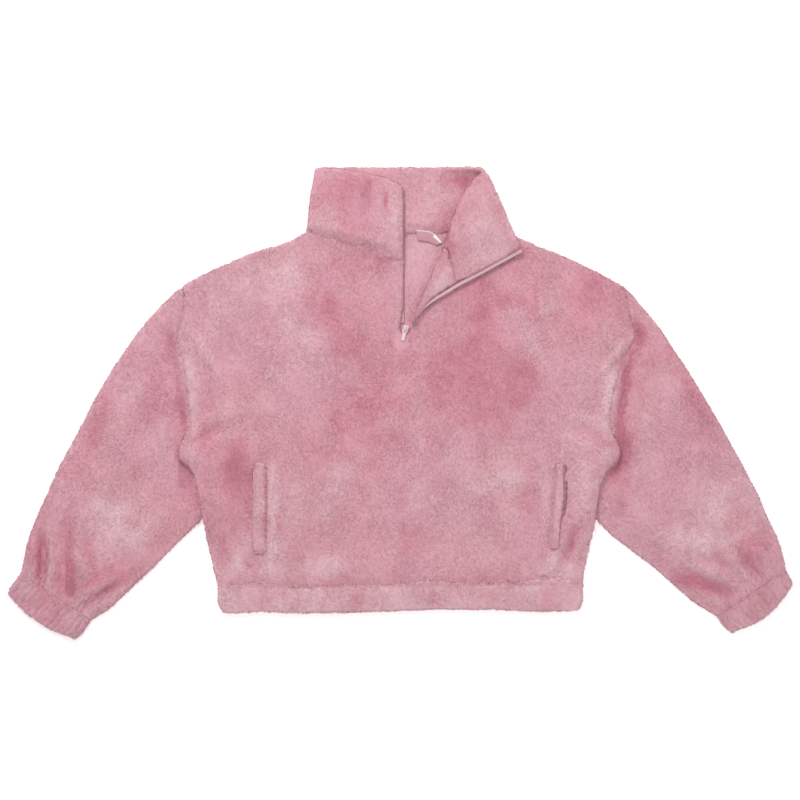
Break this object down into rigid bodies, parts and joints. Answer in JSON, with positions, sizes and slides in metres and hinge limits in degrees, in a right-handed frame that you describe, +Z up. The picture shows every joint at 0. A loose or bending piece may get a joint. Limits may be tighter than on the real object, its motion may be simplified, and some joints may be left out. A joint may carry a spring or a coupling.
{
  "type": "zip fleece",
  "caption": "Plush fleece pullover with a half zip, laid flat: funnel collar with one side turned out, drop-shoulder sleeves, gathered cuffs and hem band, upright welt pockets.",
  "frame": {"origin": "centre of the laid-flat garment's outline, on the surface that it lies on", "axes": "+X towards the viewer's right sleeve, +Y towards the collar, +Z up from the surface"},
  "size_m": [1.1, 0.6642, 0.0249],
  "materials": {
    "plush": "short dense polyester pile, matt with a soft sheen",
    "plush_deep": "short dense polyester pile, matt",
    "zip_tape": "smooth woven tape with a nylon coil",
    "zip_metal": "pale pink lacquer, satin",
    "label": "blank woven satin"
  },
  "bodies": {
    "garment": {"back_panel": "plush_deep", "front_panel": "plush", "collar": "plush", "sleeve_left": "plush", "sleeve_right": "plush", "cuff_left": "plush", "cuff_right": "plush", "hem_band": "plush", "pocket_welt_left": "plush", "pocket_welt_right": "plush", "zip_tape_left": "zip_tape", "zip_tape_right": "zip_tape", "zip_slider": "zip_metal", "neck_label": "label"},
    "pull": {"zip_pull": "zip_metal"}
  },
  "joints": [
    {"name": "pull_swing", "type": "hinge", "parent": "garment", "child": "pull", "pos_m": [0.0077, 0.102, 0.0099], "axis": [-0.9703, 0.2419, 0], "range_deg": [0, 125]}
  ]
}
